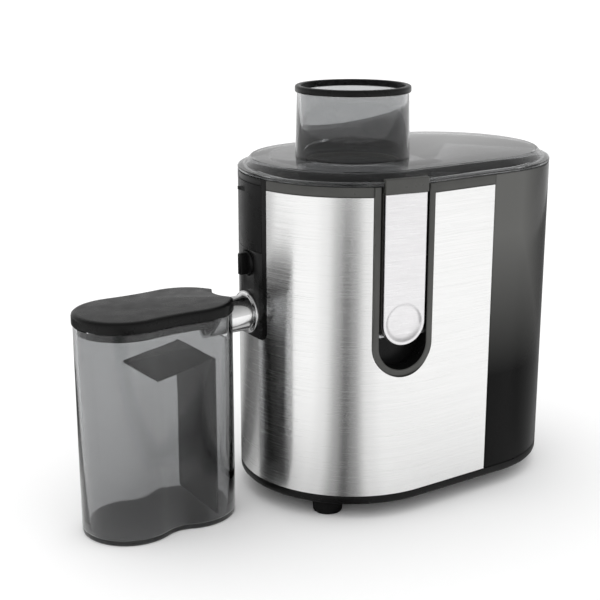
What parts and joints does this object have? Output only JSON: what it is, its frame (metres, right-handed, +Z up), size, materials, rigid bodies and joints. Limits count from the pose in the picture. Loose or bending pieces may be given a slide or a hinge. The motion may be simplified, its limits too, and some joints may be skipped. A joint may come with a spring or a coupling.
{
  "type": "centrifugal juicer",
  "caption": "Compact centrifugal juicer: steel-wrapped stadium body, smoked lid with wide feed chute, locking arm, pulp bin end and separate two-lobed juice jug.",
  "frame": {"origin": "centre of the base pan's flat underside, on the body's two mid planes, 10 mm above the surface that the feet stand on", "axes": "+Z up; +X from the outlet end, where the jug stands, to the pulp bin end; -Y is the front with the locking arm"},
  "size_m": [0.3398, 0.1577, 0.2664],
  "materials": {
    "black_plastic": "satin black moulding",
    "black_rubber": "matt rubber",
    "grey_plastic": "satin dark grey moulding",
    "brushed_steel": "horizontal brushing",
    "silver_metal": "fine satin",
    "chrome": "bright",
    "smoked_plastic": "clear smoked grey",
    "clear_plastic": "clear, light smoke tint",
    "bin_plastic": "dark smoked gloss",
    "mesh_steel": "etched filter steel",
    "motor_iron": "varnished laminations",
    "copper": "enamelled wire",
    "carbon": "pressed carbon",
    "zinc_steel": "zinc plated",
    "nylon": "natural nylon"
  },
  "bodies": {
    "housing": {"base_pan": "black_plastic", "foot_1": "black_rubber", "foot_2": "black_rubber", "foot_3": "black_rubber", "foot_4": "black_rubber", "foot_screw_1": "zinc_steel", "foot_screw_2": "zinc_steel", "foot_screw_3": "zinc_steel", "foot_screw_4": "zinc_steel", "base_screw_1": "zinc_steel", "base_screw_2": "zinc_steel", "housing": "grey_plastic", "steel_wrap": "brushed_steel", "cord_gland": "black_rubber", "latch_surround": "grey_plastic", "lever_pin": "zinc_steel", "safety_switch": "black_plastic", "outlet_panel": "black_plastic", "juice_spout": "chrome", "spout_seal": "black_rubber", "speed_switch": "nylon", "juice_collector": "black_plastic", "shaft_seal": "black_rubber", "stator_core": "motor_iron", "field_coil_1": "copper", "field_coil_2": "copper", "motor_bracket_lower": "zinc_steel", "motor_bracket_upper": "zinc_steel", "bearing_lower": "zinc_steel", "bearing_upper": "zinc_steel", "motor_bolt_1": "zinc_steel", "motor_bolt_2": "zinc_steel", "brush_holder_1": "nylon", "brush_holder_2": "nylon", "carbon_brush_1": "carbon", "carbon_brush_2": "carbon", "rubber_mount_1": "black_rubber", "rubber_mount_2": "black_rubber", "rubber_mount_3": "black_rubber", "rubber_mount_4": "black_rubber"},
    "rotor": {"motor_shaft": "zinc_steel", "armature_core": "motor_iron", "armature_winding_upper": "copper", "armature_winding_lower": "copper", "commutator": "copper", "motor_fan": "black_plastic", "drive_coupling": "nylon", "filter_basket": "mesh_steel", "grater_disc": "mesh_steel", "basket_rim": "nylon", "basket_hub": "nylon"},
    "lever": {"lever_arm": "grey_plastic", "lever_face": "silver_metal"},
    "lid": {"lid": "smoked_plastic", "chute_rim": "black_plastic"},
    "knob": {"speed_knob": "black_plastic"},
    "pulp_bin": {"pulp_bin": "bin_plastic"},
    "jug": {"jug": "clear_plastic", "foam_separator": "bin_plastic"},
    "jug_lid": {"jug_lid": "black_plastic"}
  },
  "joints": [
    {"name": "rotor_spin", "type": "hinge", "parent": "housing", "child": "rotor", "pos_m": [-0.0365, 0, 0.1], "axis": [0, 0, 1], "continuous": true},
    {"name": "lever_swing", "type": "hinge", "parent": "housing", "child": "lever", "pos_m": [-0.04871, -0.06588, 0.11], "axis": [0.9833, -0.1822, 0], "range_deg": [0, 75]},
    {"name": "lid_lift", "type": "slide", "parent": "housing", "child": "lid", "axis": [0, 0, 1], "range_m": [0, 0.06]},
    {"name": "knob_turn", "type": "hinge", "parent": "housing", "child": "knob", "pos_m": [-0.11, 0.012, 0.1476], "axis": [-1, 0, 0], "range_deg": [-45, 90]},
    {"name": "pulp_bin_slide", "type": "slide", "parent": "housing", "child": "pulp_bin", "axis": [1, 0, 0], "range_m": [0, 0.12]},
    {"name": "jug_slide", "type": "slide", "parent": "housing", "child": "jug", "axis": [-1, 0, 0], "range_m": [0, 0.12]},
    {"name": "jug_lid_lift", "type": "slide", "parent": "jug", "child": "jug_lid", "axis": [0, 0, 1], "range_m": [0, 0.04]}
  ],
  "couplings": [
    {"joint": "lid_lift", "follows": "lever_swing", "m_per_rad": 0.0458}
  ]
}
